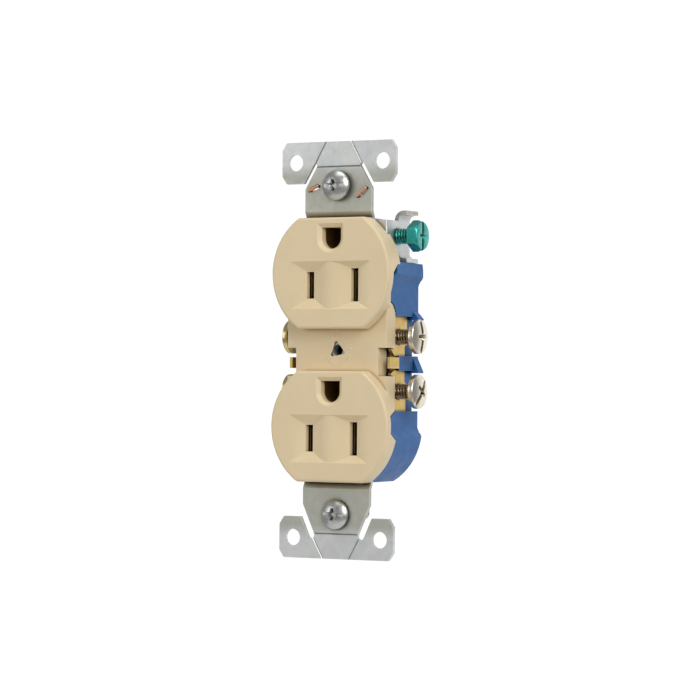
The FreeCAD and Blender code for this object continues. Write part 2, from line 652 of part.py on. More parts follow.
def ground_contact(level):
    """A split sleeve that grips the round pin, on a flange riveted to the strap."""
    z = socket_z(level)
    top = PARTING_Y + STRAP_T
    flange_y = (top, top + LEAF_T)
    tongue = box((-TONGUE_X, TONGUE_X), flange_y, (rivet_z(level) - RIVET_HEAD_R - 0.3, z))
    flange = box((-FLANGE_X, FLANGE_X), flange_y, (z + FLANGE_Z[0], z + FLANGE_Z[1]))
    sleeve = socket_prism(SLEEVE_FIT + LEAF_T, (SLEEVE_FRONT, SLEEVE_BACK), z)
    split = box((-SLEEVE_SPLIT, SLEEVE_SPLIT), (SLEEVE_FRONT - 1, SLEEVE_BACK + 1), (z - 5, z + 5))
    bore = socket_prism(SLEEVE_FIT, (SLEEVE_FRONT - 1, SLEEVE_BACK + 1), z)
    shape = sleeve.cut(split).fuse([tongue, flange]).removeSplitter()
    return shape.cut([bore, rod_y(RIVET_R, (top - 1, top + 2), 0, rivet_z(level))])


def ground_rivet(level):
    z = rivet_z(level)
    front, back = PARTING_Y, PARTING_Y + STRAP_T + LEAF_T
    heads = [rod_y(RIVET_HEAD_R, (front - RIVET_HEAD, front), 0, z),
             rod_y(RIVET_HEAD_R, (back, back + RIVET_HEAD), 0, z)]
    return rod_y(RIVET_R, (front, back), 0, z).fuse(heads).removeSplitter()


def push_clip(side, level):
    """A bent spring leaf that grips a wire pushed in from the back."""
    low, high = sorted(mirror_level(level, z) for z in CLIP_POCKET_Z)
    return to_side(prism(CLIP_OUTLINE, "z", low + 0.15, high - 0.15), SIDES[side])


# ---------------------------------------------------------------- screws and small parts

def dome(radius, rise, base):
    """A spherical cap of one height on a disc of one radius, along +Z."""
    ball = (radius ** 2 + rise ** 2) / (2 * rise)
    cap = Part.makeSphere(ball, Vector(0, 0, base + rise - ball))
    return cap.common(Part.makeCylinder(radius, rise + 0.5, Vector(0, 0, base)))


def drive(top, reach, angle):
    """A straight slot across a cross recess, cut down from the head's top."""
    half = (-DRIVE_HALF, DRIVE_HALF)
    deep = (top - DRIVE_CROSS, top + 1)
    tool = box((-FAR, FAR), (-DRIVE_WIDE / 2, DRIVE_WIDE / 2), (top - DRIVE_SLOT, top + 1))
    tool = tool.fuse([box((-reach, reach), half, deep), box(half, (-reach, reach), deep)])
    tool.rotate(Vector(0, 0, 0), Vector(0, 0, 1), angle)
    return tool


def shank(radius, length):
    """A plain shank below the seat with a blunt tip."""
    tip = Part.makeCone(radius - SHANK_TIP, radius, SHANK_TIP, Vector(0, 0, -length))
    return [Part.makeCylinder(radius, length - SHANK_TIP, Vector(0, 0, SHANK_TIP - length)), tip]


def pan_head(size, angle):
    """A domed head with its seat at zero."""
    radius, rim, rise = size
    head = Part.makeCylinder(radius, rim).fuse(dome(radius, rise, rim)).removeSplitter()
    return head.cut(drive(rim + rise, 0.55 * radius, angle))


def hex_head():
    """A slotted hexagonal head with its crown turned down."""
    corner = GROUND_FLATS / 2 / math.cos(math.radians(30))
    points = [(corner * math.cos(math.radians(a)), corner * math.sin(math.radians(a)))
              for a in range(0, 360, 60)]
    crown = Part.makeCone(corner + 1.4, corner - 0.5, GROUND_HEAD)
    blank = crown.fuse(Part.makeCylinder(corner, GROUND_CROWN))
    head = prism(points, "z", 0, GROUND_HEAD).common(blank)
    return head.cut(drive(GROUND_HEAD, DRIVE_CROSS, 90))


def aim(shape, direction, place):
    """Turn a part built along +Z to point along a direction, then move it into place."""
    turn = FreeCAD.Rotation(Vector(0, 0, 1), direction)
    shape.Placement = FreeCAD.Placement(place, turn)
    return shape


def terminal_screw(side, level):
    sign = SIDES[side]
    head = pan_head(TERMINAL_HEAD, TERMINAL_DRIVE[level])
    screw = head.fuse(shank(SHANK_R, SHANK_LONG)).removeSplitter()
    seat = Vector(sign * TERMINAL_SEAT[side], TERMINAL_Y, TERMINAL_SCREW_Z[level])
    return aim(screw, Vector(sign, 0, 0), seat)


def mounting_screw(level):
    """A box screw with a thin neck that stays loose in the strap's slot."""
    seat = BOX_SEAT[level]
    neck = BOX_NECK_END - seat
    thread_gap = Part.makeCylinder(FAR, neck, Vector(0, 0, -neck))
    thread = [part.cut(thread_gap) for part in shank(BOX_SHANK_R, BOX_SHANK_LONG)]
    neck_rod = Part.makeCylinder(BOX_NECK_R, neck, Vector(0, 0, -neck))
    screw = pan_head(BOX_HEAD, 0).fuse([neck_rod] + thread).removeSplitter()
    return aim(screw, Vector(0, -1, 0), Vector(0, seat, LEVELS[level] * BOX_SCREW_Z))


def ground_screw():
    screw = hex_head().fuse(shank(SHANK_R, SHANK_LONG)).removeSplitter()
    return aim(screw, Vector(1, 0, 0), Vector(GROUND_SEAT, GROUND_Y, GROUND_Z))


def screw_retainer(level):
    """A fibre washer behind the strap that keeps the box screw from falling out."""
    z = LEVELS[level] * BOX_SCREW_Z
    wide, tall = RETAINER_HALF
    card = box((-wide, wide), (STRAP_T, STRAP_T + RETAINER_T), (z - tall, z + tall))
    return card.cut(rod_y(BOX_SHANK_R + THREAD_GAP, (0, FAR), 0, z))


def self_ground_clip():
    """A copper wire laced through the strap that touches the upper box screw."""
    front, back = -WIRE_R, STRAP_T + RETAINER_T + WIRE_R + 0.05
    (left_a, left_b), (right_a, right_b) = WIRE_FRONT
    under = BOX_SCREW_Z - BOX_SHANK_R - WIRE_R - GAP
    route = [
        Vector(left_a[0], back, left_a[1]), Vector(left_a[0], front, left_a[1]),
        Vector(left_b[0], front, left_b[1]), Vector(left_b[0], back, left_b[1]),
        Vector(0, back, under), Vector(right_a[0], back, right_a[1]),
        Vector(right_a[0], front, right_a[1]), Vector(right_b[0], front, right_b[1]),
        Vector(right_b[0], back, right_b[1]),
    ]
    runs = [Part.makeCylinder(WIRE_R, (b - a).Length, a, b - a) for a, b in zip(route, route[1:])]
    bends = [Part.makeSphere(WIRE_R, place) for place in route[1:-1]]
    return runs[0].fuse(runs[1:] + bends).removeSplitter()


# ---------------------------------------------------------------- the assembly

def pieces():
    yield "front_cover", front_cover()
    yield "back_body", back_body()
    yield "mounting_strap", mounting_strap()
    for side in SIDES:
        yield f"{side}_bus", bus(side)
        for level in LEVELS:
            yield f"{side}_screw_{level}", terminal_screw(side, level)
            yield f"push_clip_{side}_{level}", push_clip(side, level)
    for level in LEVELS:
        yield f"ground_contact_{level}", ground_contact(level)
        yield f"ground_rivet_{level}", ground_rivet(level)
        yield f"mounting_screw_{level}", mounting_screw(level)
        yield f"screw_retainer_{level}", screw_retainer(level)
    yield "ground_screw", ground_screw()
    yield "self_ground_clip", self_ground_clip()


os.makedirs("parts", exist_ok=True)
for name, shape in pieces():
    solids = shape.Solids
    print(f"{name}: {len(solids)} solid, {shape.Volume:.1f} mm3, valid {shape.isValid()}")
    solids[0].exportStep(f"parts/{name}.step")
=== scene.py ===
import bmesh
import bpy
import math
from mathutils import Matrix, Vector

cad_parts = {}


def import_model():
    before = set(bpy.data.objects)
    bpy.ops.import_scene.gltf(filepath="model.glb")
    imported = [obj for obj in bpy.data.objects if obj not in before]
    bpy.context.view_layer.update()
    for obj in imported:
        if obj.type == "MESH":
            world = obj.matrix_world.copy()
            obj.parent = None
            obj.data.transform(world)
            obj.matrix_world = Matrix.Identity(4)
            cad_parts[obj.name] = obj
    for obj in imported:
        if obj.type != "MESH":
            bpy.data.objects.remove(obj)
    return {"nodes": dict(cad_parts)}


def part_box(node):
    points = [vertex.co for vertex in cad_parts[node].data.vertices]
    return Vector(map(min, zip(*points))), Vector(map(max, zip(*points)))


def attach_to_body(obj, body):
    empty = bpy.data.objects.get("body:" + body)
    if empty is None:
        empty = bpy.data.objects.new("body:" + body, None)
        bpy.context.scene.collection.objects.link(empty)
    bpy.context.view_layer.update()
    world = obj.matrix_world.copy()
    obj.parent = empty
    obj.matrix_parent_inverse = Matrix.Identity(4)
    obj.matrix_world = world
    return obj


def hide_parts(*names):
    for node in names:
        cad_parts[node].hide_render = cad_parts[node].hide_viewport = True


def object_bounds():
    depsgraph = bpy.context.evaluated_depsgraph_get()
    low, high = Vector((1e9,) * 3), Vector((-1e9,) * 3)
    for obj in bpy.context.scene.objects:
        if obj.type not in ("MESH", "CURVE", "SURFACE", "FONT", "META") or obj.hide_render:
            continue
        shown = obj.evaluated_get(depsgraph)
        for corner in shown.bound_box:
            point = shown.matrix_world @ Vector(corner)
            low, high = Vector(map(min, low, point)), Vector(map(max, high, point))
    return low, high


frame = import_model()
cad_bounds = [list(corner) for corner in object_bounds()]

MM = 0.001
HOUSING = "housing"
SIDES = {"neutral": 1, "hot": -1}
LEVELS = ("upper", "lower")

# Sizes are in millimetres and turns in degrees, unless a comment says otherwise

# Rounded edges of the pieces; points closer than the merge distance are one, and facets within
# the flat angle are one face
COVER_EDGE = 0.14
BODY_EDGE = 0.14
STRAP_EDGE = 0.10
BRASS_EDGE = 0.07
MERGE_DISTANCE = 0.002
FLAT_ANGLE = 0.6
BEVEL_ANGLE = 28
BEVEL_SEGMENTS = 2
SHARP_ANGLE = 35
SCREW_SHARP_ANGLE = 30
FLAT_WEIGHT = 80

# Threads: pitch and depth, points per turn and rings per pitch, and the shape of crest and tip
PITCH = 0.794
THREAD_DEPTH = 0.42
TURN_STEPS = 48
PITCH_STEPS = 8
CREST_TOP = 1.30
FLANK_SLOPE = 2.5
FADE_IN = 0.4
TIP_TAPER = 0.45

# Shanks: radius and length
SIDE_SHANK = (2.0, 7.2)
BOX_SHANK = (1.75, 16.0)
BOX_NECK_R = 1.55
BOX_NECK_LONG = {"upper": 4.45, "lower": 3.6}
NECK_START = 0.05
NECK_OVERLAP = 0.3

# Pan heads: radius, rim and dome; hexagonal head: width across flats and height. An edge is its
# rounding and the least angle rounded. A pan head stands off its seat by the relief, and what
# joins it from below reaches up into it by the overlap
TERMINAL_HEAD = (4.35, 1.4, 0.8)
BOX_HEAD = (3.8, 0.8, 1.5)
HEX_HEAD = (6.95, 2.8)
HEX_CROWN = 0.75
HEX_TOP_INSET = 0.55
RIM_CHAMFER = 0.12
RIM_STEP = 0.1
DOME_STEPS = 10
PAN_EDGE = (0.09, 32)
HEX_EDGE = (0.10, 20)
SEAT_RELIEF = 0.06
SEAT_OVERLAP = 0.3

# Drives: slot width and depth, half an arm's width, depth of the cross, and its narrow floor
PAN_DRIVE = (1.15, 0.8, 0.6, 1.3)
PAN_CROSS_REACH = 0.6
HEX_DRIVE = (0.95, 1.0, 0.42, 1.6)
HEX_CROSS_REACH = 1.75
CROSS_FLOOR = 0.45
CROSS_SHOULDER = 1.15
CROSS_CORNER = 1.9

# How far each screw's drive is turned
TERMINAL_TURN = {"neutral_screw_upper": 92, "neutral_screw_lower": 52, "hot_screw_upper": 8,
                 "hot_screw_lower": 70}
BOX_TURN = {"upper": 2, "lower": -4}
GROUND_TURN = 90

# Raised dashes round the centre opening, and how far its saddle lies behind the plug faces
SADDLE_DEPTH = 4.15
RING_R = 3.7
RING_COUNT = 24
RING_START = -60
RING_SWEEP = 300
DASH_LONG = 0.62
DASH_SHORT = 0.42
DASH_HALF_WIDE = 0.17
DASH_TALL = 0.10
DASH_SINK = 0.02
DASH_TAPER = 0.7

# Where the colour darkens: between two distances from the middle along an axis. On the strap's neck
# this is painted reflection of the plastic; on the screw shanks it is a darker brown
NECK_INNER = ("Z", 33.0, 34.5)
NECK_OUTER = ("Z", 47.5, 44.5)
NICKEL_SHANK = ("X", 18.3, 17.7)
BRASS_SHANK = ("X", 16.4, 15.8)
AO_SAMPLES = 8


# ---------------------------------------------------------------- mesh helpers

def new_object(name, bm):
    """A linked object from a bmesh whose points are already in the row frame."""
    mesh = bpy.data.meshes.new(name)
    bm.to_mesh(mesh)
    bm.free()
    obj = bpy.data.objects.new(name, mesh)
    bpy.context.scene.collection.objects.link(obj)
    return obj


def closed_object(name, bm):
    """A linked object from a closed bmesh drawn in millimetres, with its faces turned outwards."""
    bmesh.ops.recalc_face_normals(bm, faces=bm.faces)
    for v in bm.verts:
        v.co *= MM
    return new_object(name, bm)


def apply_modifiers(obj):
    """Bake the modifier stack into the object's own mesh."""
    bpy.context.view_layer.update()
    graph = bpy.context.evaluated_depsgraph_get()
    mesh = bpy.data.meshes.new_from_object(obj.evaluated_get(graph))
    obj.modifiers.clear()
    obj.data = mesh


def smooth(obj, angle=SHARP_ANGLE):
    """Shade smoothly, but keep edges sharper than the angle crisp."""
    obj.data.shade_smooth()
    obj.data.set_sharp_from_angle(angle=math.radians(angle))


def even_normals(obj):
    """Let the large flat faces set the shading, so that rounded edges don't bend it."""
    weighted = obj.modifiers.new("normals", "WEIGHTED_NORMAL")
    weighted.mode = "FACE_AREA"
    weighted.weight = FLAT_WEIGHT
    weighted.keep_sharp = True
    apply_modifiers(obj)


def add_bevel(obj, width, angle=BEVEL_ANGLE):
    """Round the edges sharper than the angle by this width in millimetres."""
    bevel = obj.modifiers.new("edge", "BEVEL")
    bevel.width = width * MM
    bevel.segments = BEVEL_SEGMENTS
    bevel.limit_method = "ANGLE"
    bevel.angle_limit = math.radians(angle)
    bevel.use_clamp_overlap = True


def carve(obj, tool, operation="DIFFERENCE"):
    """Cut one object with another and discard the tool."""
    cut = obj.modifiers.new("cut", "BOOLEAN")
    cut.operation = operation
    cut.solver = "EXACT"
    cut.object = tool
    apply_modifiers(obj)
    bpy.data.objects.remove(tool)


def join(name, objects):
    """Merge several objects into one mesh object."""
    bm = bmesh.new()
    for obj in objects:
        bm.from_mesh(obj.data)
        bpy.data.objects.remove(obj)
    return new_object(name, bm)


def attach(obj, body, slot, material, *nodes):
    """Material, body and the CAD nodes that this piece stands for; the slot is not used."""
    obj.data.materials.clear()
    obj.data.materials.append(material)
    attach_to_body(obj, body)
    if nodes:
        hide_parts(*nodes)


def softened(node, width):
    """A copy of a CAD node with its coplanar facets merged and its edges rounded."""
    source = frame["nodes"][node]
    bm = bmesh.new()
    bm.from_mesh(source.data)
    bmesh.ops.remove_doubles(bm, verts=bm.verts, dist=MERGE_DISTANCE * MM)
    bmesh.ops.dissolve_limit(bm, angle_limit=math.radians(FLAT_ANGLE), verts=bm.verts, edges=bm.edges)
    obj = new_object(f"{node}_finished", bm)
    add_bevel(obj, width)
    apply_modifiers(obj)
    smooth(obj)
    even_normals(obj)
    return obj


# ---------------------------------------------------------------- materials

class Surface:
    """A Principled material with object-space procedural colour, roughness and bump."""

    def __init__(self, name, metallic=0.0, **sockets):
        self.material = bpy.data.materials.new(name)
        self.material.use_nodes = True
        self.tree = self.material.node_tree
        self.nodes = self.tree.nodes
        self.bsdf = self.nodes["Principled BSDF"]
        self.bsdf.inputs["Metallic"].default_value = metallic
        for socket, value in sockets.items():
            self.bsdf.inputs[socket.replace("_", " ")].default_value = value
        self.coords = self.nodes.new("ShaderNodeTexCoord").outputs["Object"]
        self.normal = None

    def link(self, source, target):
        self.tree.links.new(source, target)

    def stretched(self, scale):
        """Object coordinates scaled along each axis."""
        mapping = self.nodes.new("ShaderNodeMapping")
        mapping.inputs["Scale"].default_value = scale
        self.link(self.coords, mapping.inputs["Vector"])
        return mapping.outputs["Vector"]

    def noise(self, size, detail=4.0, rough=0.55, distort=0.0, vector=None):
        """Noise whose features are about this size in millimetres."""
        node = self.nodes.new("ShaderNodeTexNoise")
        node.inputs["Scale"].default_value = 1 / (size * MM)
        node.inputs["Detail"].default_value = detail
        node.inputs["Roughness"].default_value = rough
        node.inputs["Distortion"].default_value = distort
        self.link(vector or self.coords, node.inputs["Vector"])
        return node.outputs["Fac"]

    def cells(self, size, vector):
        """Flat random colours in cells of about this size in millimetres."""
        node = self.nodes.new("ShaderNodeTexVoronoi")
        node.inputs["Scale"].default_value = 1 / (size * MM)
        self.link(vector, node.inputs["Vector"])
        return node.outputs["Color"]

    def ranged(self, value, low, high, start=0.3, end=0.7):
        """The value carried from start and end to low and high, and held there beyond them."""
        node = self.nodes.new("ShaderNodeMapRange")
        self.link(value, node.inputs["Value"])
        numbers = {"From Min": start, "From Max": end, "To Min": low, "To Max": high}
        for socket, number in numbers.items():
            node.inputs[socket].default_value = number
        return node.outputs["Result"]

    def mixed(self, factor, colour_a, colour_b, mode="MIX"):
        """Two colours, each a tuple or a socket, mixed by a number or a socket."""
        node = self.nodes.new("ShaderNodeMix")
        node.data_type = "RGBA"
        node.blend_type = mode
        if isinstance(factor, (int, float)):
            node.inputs[0].default_value = factor
        else:
            self.link(factor, node.inputs[0])
        for socket, colour in ((node.inputs[6], colour_a), (node.inputs[7], colour_b)):
            if isinstance(colour, tuple):
                socket.default_value = (*colour, 1)
            else:
                self.link(colour, socket)
        return node.outputs[2]

    def edges(self, reach=0.3, low=0.50, high=0.85):
        """Near one on convex edges, zero on flats, as the mask for painted edge highlights; the reach
        is in millimetres.
        """
        node = self.nodes.new("ShaderNodeAmbientOcclusion")
        node.samples = AO_SAMPLES
        node.inside = True
        node.inputs["Distance"].default_value = reach * MM
        return self.ranged(node.outputs["AO"], 1.0, 0.0, low, high)

    def along(self, axis, start, end):
        """Rises from zero to one between two distances in millimetres from the middle of an axis."""
        split = self.nodes.new("ShaderNodeSeparateXYZ")
        self.link(self.coords, split.inputs["Vector"])
        distance = self.nodes.new("ShaderNodeMath")
        distance.operation = "ABSOLUTE"
        self.link(split.outputs[axis], distance.inputs[0])
        return self.ranged(distance.outputs["Value"], 0.0, 1.0, start * MM, end * MM)

    def shade(self, reach, low=0.35, high=0.85):
        """Near one in recesses and gaps narrower than the reach in millimetres."""
        node = self.nodes.new("ShaderNodeAmbientOcclusion")
        node.samples = AO_SAMPLES
        node.inputs["Distance"].default_value = reach * MM
        return self.ranged(node.outputs["AO"], 1.0, 0.0, low, high)

    def colour(self, source):
        self.link(source, self.bsdf.inputs["Base Color"])

    def roughness(self, source):
        self.link(source, self.bsdf.inputs["Roughness"])

    def bump(self, height, depth, strength=1.0):
        """Add a height pattern of this depth in millimetres to the surface normal."""
        node = self.nodes.new("ShaderNodeBump")
        node.inputs["Strength"].default_value = strength
        node.inputs["Distance"].default_value = depth * MM
        self.link(height, node.inputs["Height"])
        if self.normal:
            self.link(self.normal, node.inputs["Normal"])
        self.normal = node.outputs["Normal"]
        self.link(self.normal, self.bsdf.inputs["Normal"])


def ivory_plastic():
    s = Surface("ivory_plastic", IOR=1.5, Subsurface_Weight=0.12, Subsurface_Scale=0.0006)
    s.bsdf.inputs["Subsurface Radius"].default_value = (1.0, 0.7, 0.4)
    cloudy = s.ranged(s.noise(14, 3), 0.0, 1.0)
    base = s.mixed(cloudy, (0.855, 0.690, 0.430), (0.900, 0.735, 0.470))
    speck = s.ranged(s.noise(0.9, 2), 0.0, 0.35, 0.66, 0.8)
    base = s.mixed(speck, base, (0.78, 0.60, 0.34))
    # Painted highlight: a lighter colour on convex edges
    base = s.mixed(s.edges(), base, (0.95, 0.82, 0.58))
    # Painted shade: a dark brown in recesses and gaps
    s.colour(s.mixed(s.shade(1.6, 0.30, 0.80), base, (0.40, 0.25, 0.10)))
    s.roughness(s.ranged(s.noise(3.2, 5), 0.36, 0.50))
    s.bump(s.noise(0.45, 3), 0.010)
    s.bump(s.noise(6.0, 2), 0.035)
    return s.material


def blue_plastic():
    s = Surface("blue_plastic", IOR=1.5, Specular_IOR_Level=0.22)
    cloudy = s.ranged(s.noise(9, 4), 0.0, 1.0)
    base = s.mixed(cloudy, (0.040, 0.150, 0.400), (0.055, 0.178, 0.455))
    # Painted highlight: a lighter blue on convex edges
    base = s.mixed(s.edges(), base, (0.10, 0.32, 0.66))
    flow = s.noise(2.2, 4, 0.6, 0.6, s.stretched((1.0, 0.25, 1.0)))
    base = s.mixed(s.ranged(flow, 0.0, 0.30, 0.5, 0.8), base, (0.070, 0.205, 0.500))
    # Painted shade: a very dark blue in recesses and gaps
    s.colour(s.mixed(s.shade(2.0, 0.35, 0.90), base, (0.006, 0.018, 0.075)))
    s.roughness(s.ranged(s.noise(2.4, 5), 0.40, 0.58))
    s.bump(s.noise(0.35, 3), 0.012)
    s.bump(s.noise(5.0, 2), 0.04)
    return s.material


def galvanised_steel():
    s = Surface("galvanised_steel", metallic=0.85)
    spangle = s.cells(2.6, s.stretched((1.0, 1.0, 0.75)))
    warped = s.noise(5.5, 4, 0.6, 1.2)
    base = s.mixed(s.ranged(warped, 0.0, 1.0), (0.72, 0.74, 0.73), (0.83, 0.84, 0.83))
    shade = s.mixed(0.06, base, spangle, "OVERLAY")
    streak = s.noise(0.5, 3, 0.6, 0.0, s.stretched((1.0, 1.0, 0.10)))
    shade = s.mixed(s.ranged(streak, 0.0, 0.45, 0.62, 0.85), shade, (0.46, 0.47, 0.46))
    stain = s.ranged(s.noise(7.0, 5, 0.7, 0.8), 0.0, 0.35, 0.58, 0.78)
    shade = s.mixed(stain, shade, (0.60, 0.60, 0.57))
    # Painted reflection: the strap's neck is made darker and yellower, as if reflecting the plastic
    painted_neck_reflection = s.mixed(1.0, shade, (0.73, 0.72, 0.64), "MULTIPLY")
    painted_neck_reflection = s.mixed(s.along(*NECK_INNER), shade, painted_neck_reflection)
    shade = s.mixed(s.along(*NECK_OUTER), shade, painted_neck_reflection)
    # Painted highlight: a lighter grey on convex edges
    shade = s.mixed(s.edges(0.25), shade, (0.90, 0.91, 0.90))
    # Painted shade: a near-black in recesses, gaps and under the screw heads
    s.colour(s.mixed(s.shade(1.6, 0.35, 0.90), shade, (0.07, 0.065, 0.06)))
    s.roughness(s.ranged(s.noise(1.6, 6, 0.65, 0.5), 0.36, 0.56))
    s.bump(s.noise(0.5, 3), 0.010)
    s.bump(streak, 0.012)
    s.bump(warped, 0.03)
    return s.material


def metal(name, dark, light, edge, rough, painted_recess_shade=(0.10, 0.055, 0.025), size=4.0, darken_past=None):
    """A sheet or plated metal with mottle and grain, painted highlights on its edges and painted shade
    in its recesses; darker and browner past the place given as its last argument.
    """
    s = Surface(name, metallic=1.0)
    base = s.mixed(s.ranged(s.noise(size, 4, 0.6, 0.4), 0.0, 1.0), dark, light)
    spots = s.ranged(s.noise(size / 5, 3, 0.6), 0.0, 0.5, 0.62, 0.85)
    base = s.mixed(spots, base, tuple(0.62 * c for c in dark))
    # Painted highlight: the edge colour on convex edges
    base = s.mixed(s.edges(), base, edge)
    # Darker and browner past the given place along an axis
    if darken_past:
        base = s.mixed(s.along(*darken_past), base, s.mixed(0.85, base, (0.34, 0.25, 0.17), "MULTIPLY"))
    # Painted shade: the recess colour in recesses and gaps
    s.colour(s.mixed(s.shade(1.1, 0.40, 0.90), base, painted_recess_shade))
    s.roughness(s.ranged(s.noise(size / 3, 5, 0.6), *rough))
    s.bump(s.noise(0.6, 3), 0.008)
    s.bump(s.noise(size, 2), 0.02)
    return s.material


def green_coating():
    s = Surface("green_coating", metallic=0.75, Coat_Weight=0.15, Coat_Roughness=0.12)
    base = s.mixed(s.ranged(s.noise(2.5, 4), 0.0, 1.0), (0.020, 0.330, 0.290), (0.050, 0.450, 0.395))
    # Painted highlight: a lighter green on convex edges
    base = s.mixed(s.edges(), base, (0.18, 0.66, 0.58))
    # Painted shade: a near-black green in recesses and gaps
    s.colour(s.mixed(s.shade(1.1, 0.40, 0.90), base, (0.001, 0.045, 0.038)))
    s.roughness(s.ranged(s.noise(1.0, 5), 0.22, 0.38))
    s.bump(s.noise(0.5, 3), 0.010)
    return s.material


def fibre_card():
    s = Surface("fibre_card")
    fibres = s.ranged(s.noise(0.8, 6, 0.7, 0.5), 0.0, 1.0)
    s.colour(s.mixed(fibres, (0.10, 0.085, 0.07), (0.20, 0.17, 0.14)))
    s.roughness(s.ranged(s.noise(0.6, 4), 0.75, 0.92))
    s.bump(s.noise(0.25, 4, 0.7), 0.03)
    return s.material


IVORY = ivory_plastic()
BLUE = blue_plastic()
GALVANISED = galvanised_steel()
# Each metal: dark and light tone, painted edge-highlight colour, roughness range and, where given, its
# painted recess-shade colour
BRASS = metal("brass", (0.62, 0.41, 0.11), (0.74, 0.53, 0.19), (0.88, 0.72, 0.38), (0.30, 0.44))
# The ground contacts take their own brass, with a lighter painted shade in their recesses
CONTACT = metal("contact_brass", (0.66, 0.40, 0.10), (0.80, 0.54, 0.18), (0.90, 0.70, 0.34),
                (0.40, 0.55), painted_recess_shade=(0.30, 0.17, 0.04))
BRASS_PLATE = metal("brass_plating", (0.70, 0.56, 0.24), (0.84, 0.70, 0.36), (0.95, 0.86, 0.58),
                    (0.16, 0.28), size=2.5, darken_past=BRASS_SHANK)
NICKEL = metal("nickel", (0.70, 0.635, 0.52), (0.84, 0.785, 0.67), (0.94, 0.90, 0.82),
               (0.20, 0.32), size=2.5, darken_past=NICKEL_SHANK)
ZINC = metal("zinc_plating", (0.54, 0.55, 0.54), (0.70, 0.71, 0.69), (0.86, 0.87, 0.85),
             (0.24, 0.38), painted_recess_shade=(0.05, 0.05, 0.045), size=2.5)
COPPER = metal("copper", (0.72, 0.36, 0.19), (0.88, 0.52, 0.32), (0.96, 0.68, 0.48),
               (0.25, 0.38), size=1.5)
SPRING = metal("spring_steel", (0.42, 0.42, 0.43), (0.56, 0.56, 0.57), (0.80, 0.80, 0.80), (0.22, 0.34))
GREEN = green_coating()
FIBRE = fibre_card()


# ---------------------------------------------------------------- screws

def thread(name, top, length, radius):
    """A threaded shank along -Z from its top, as a closed surface whose radius follows a helix."""
    bm = bmesh.new()
    minor = radius - THREAD_DEPTH
    rows = round(length / PITCH * PITCH_STEPS)
    rings = []
    for row in range(rows + 1):
        drop = length * row / rows
        fade_top = min(1.0, drop / (FADE_IN * PITCH))
        taper = max(0.0, drop - (length - PITCH)) / PITCH
        ring = []
        for step in range(TURN_STEPS):
            turn = step / TURN_STEPS
            phase = (drop / PITCH + turn) % 1.0
            crest = max(0.0, min(1.0, CREST_TOP - FLANK_SLOPE * abs(phase - 0.5)))
            r = minor + (radius - minor) * crest * fade_top
            r -= taper * TIP_TAPER * (r - 0.5 * minor)
            angle = 2 * math.pi * turn
            ring.append(bm.verts.new((r * math.cos(angle), r * math.sin(angle), top - drop)))
        rings.append(ring)
    for a, b in zip(rings, rings[1:]):
        for i in range(TURN_STEPS):
            j = (i + 1) % TURN_STEPS
            bm.faces.new((a[i], b[i], b[j], a[j]))
    bm.faces.new(rings[0])
    bm.faces.new(list(reversed(rings[-1])))
    return closed_object(name, bm)


def lathe(name, profile, steps=72):
    """A closed solid turned about Z from (radius, height) points that start and end on the axis."""
    bm = bmesh.new()
    rings = []
    for r, z in profile:
        if r < 1e-6:
            rings.append([bm.verts.new((0, 0, z))])
        else:
            rings.append([bm.verts.new((r * math.cos(2 * math.pi * i / steps),
                                        r * math.sin(2 * math.pi * i / steps), z))
                          for i in range(steps)])
    for a, b in zip(rings, rings[1:]):
        for i in range(steps):
            j = (i + 1) % steps
            corners = [a[i % len(a)], a[j % len(a)], b[j % len(b)], b[i % len(b)]]
            bm.faces.new(list(dict.fromkeys(corners)))
    return closed_object(name, bm)


def prism(name, points, low, high, shrink=1.0):
    """A polygon in X and Y raised between two heights; its low end may be smaller."""
    bm = bmesh.new()
    bottom = [bm.verts.new((x * shrink, y * shrink, low)) for x, y in points]
    top = [bm.verts.new((x, y, high)) for x, y in points]
    bm.faces.new(list(reversed(bottom)))
    bm.faces.new(top)
    for i in range(len(points)):
        j = (i + 1) % len(points)
        bm.faces.new((bottom[i], bottom[j], top[j], top[i]))
    return closed_object(name, bm)


def cross_points(reach, half):
    """The outline of a cross recess with its inner corners cut across."""
    inner, shoulder = half * CROSS_CORNER, half * CROSS_SHOULDER
    quarter = [(reach, -half), (reach, half), (inner, shoulder), (shoulder, inner)]
    points = []
    for turn in range(4):
        c, s = round(math.cos(turn * math.pi / 2)), round(math.sin(turn * math.pi / 2))
        points += [(x * c - y * s, x * s + y * c) for x, y in quarter]
    return points


def cut_drive(head, top, radius, drive, reach):
    """A straight slot across a screw head of this radius and a tapered cross of this reach."""
    slot_wide, slot_deep, half, deep = drive
    wide = slot_wide / 2
    slot = [(-radius - 1, -wide), (radius + 1, -wide), (radius + 1, wide), (-radius - 1, wide)]
    carve(head, prism("tool", slot, top - slot_deep, top + 1))
    carve(head, prism("tool", cross_points(reach, half), top - deep, top + 0.6, shrink=CROSS_FLOOR))


def pan_head(radius, rim, rise):
    """A domed head on a short rim, with its seat at zero and a combination drive."""
    ball = (radius ** 2 + rise ** 2) / (2 * rise)
    centre = rim + rise - ball
    inset = radius - RIM_CHAMFER
    profile = [(0, SEAT_RELIEF), (inset, SEAT_RELIEF), (radius, SEAT_RELIEF + RIM_CHAMFER),
               (radius, rim - RIM_STEP)]
    sweep = math.asin(inset / ball)
    for i in range(DOME_STEPS):
        a = sweep * (1 - i / DOME_STEPS)
        profile.append((ball * math.sin(a), centre + ball * math.cos(a)))
    profile.append((0, centre + ball))
    head = lathe("head", profile)
    cut_drive(head, rim + rise, radius, PAN_DRIVE, PAN_CROSS_REACH * radius)
    add_bevel(head, *PAN_EDGE)
    apply_modifiers(head)
    return head


